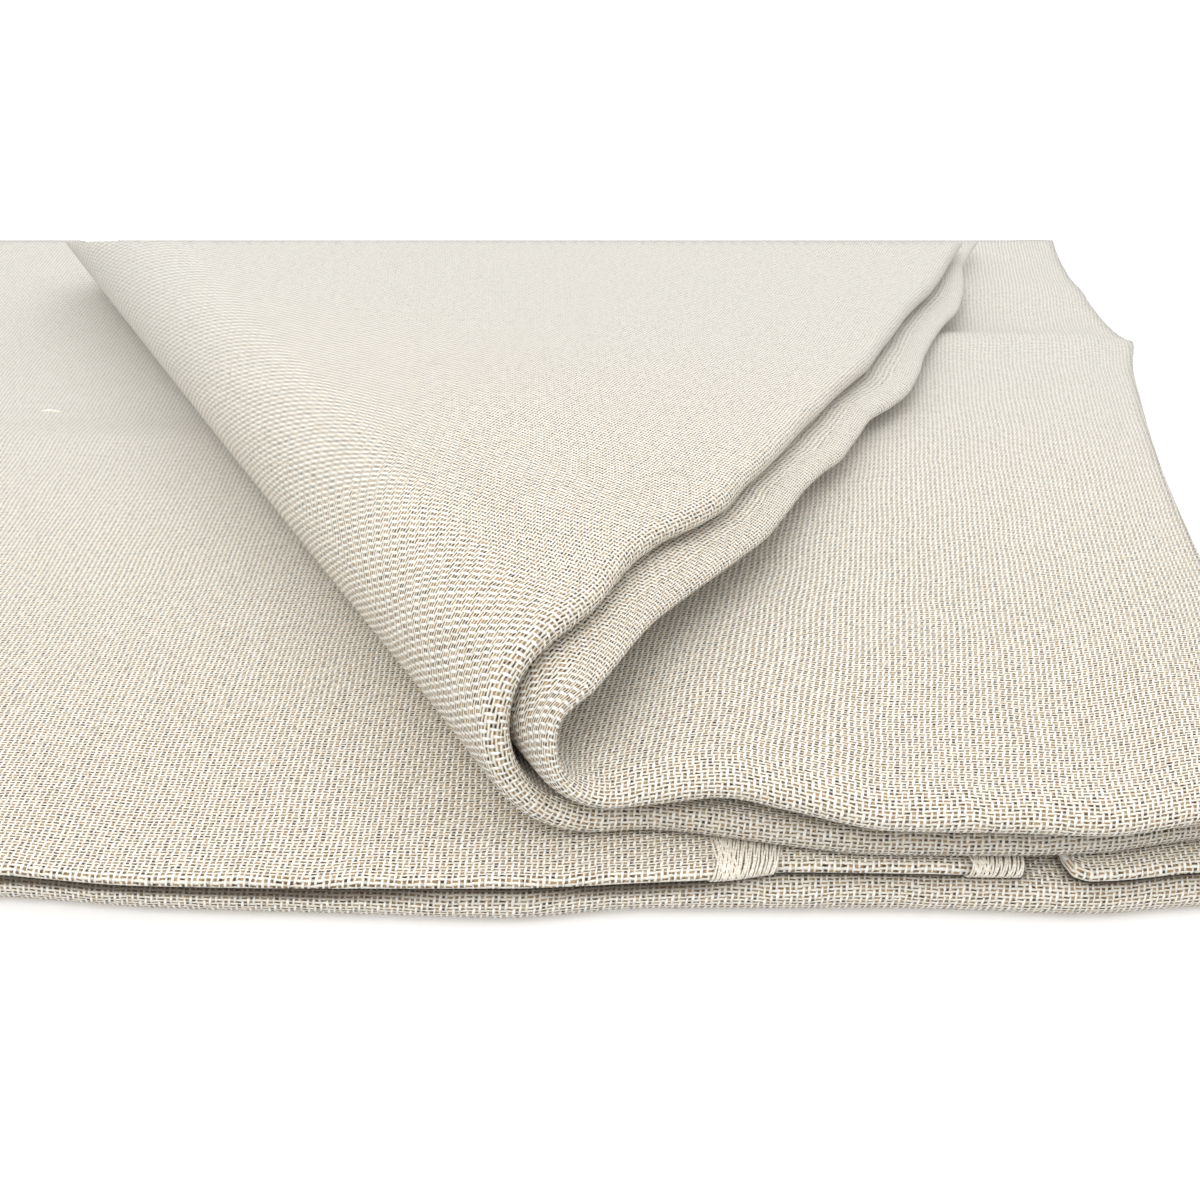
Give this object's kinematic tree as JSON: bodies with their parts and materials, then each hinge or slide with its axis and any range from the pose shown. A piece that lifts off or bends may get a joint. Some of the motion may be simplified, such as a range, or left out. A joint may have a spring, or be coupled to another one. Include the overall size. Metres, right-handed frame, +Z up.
{
  "type": "folded dust sheet",
  "caption": "Cream cotton twill dust sheet, folded back and forth into a low stack, with one corner of the upper folds turned over.",
  "frame": {"origin": "on the flat underside, where it rests, 70 mm behind the front folds", "axes": "+X to the right along the front folds, +Y from the front folds to the cut ends at the back, +Z up"},
  "size_m": [0.3386, 0.2704, 0.0428],
  "materials": {
    "cotton": "loose cotton twill, matt, cream"
  },
  "bodies": {
    "root": {"dust_sheet": "cotton"}
  },
  "joints": []
}
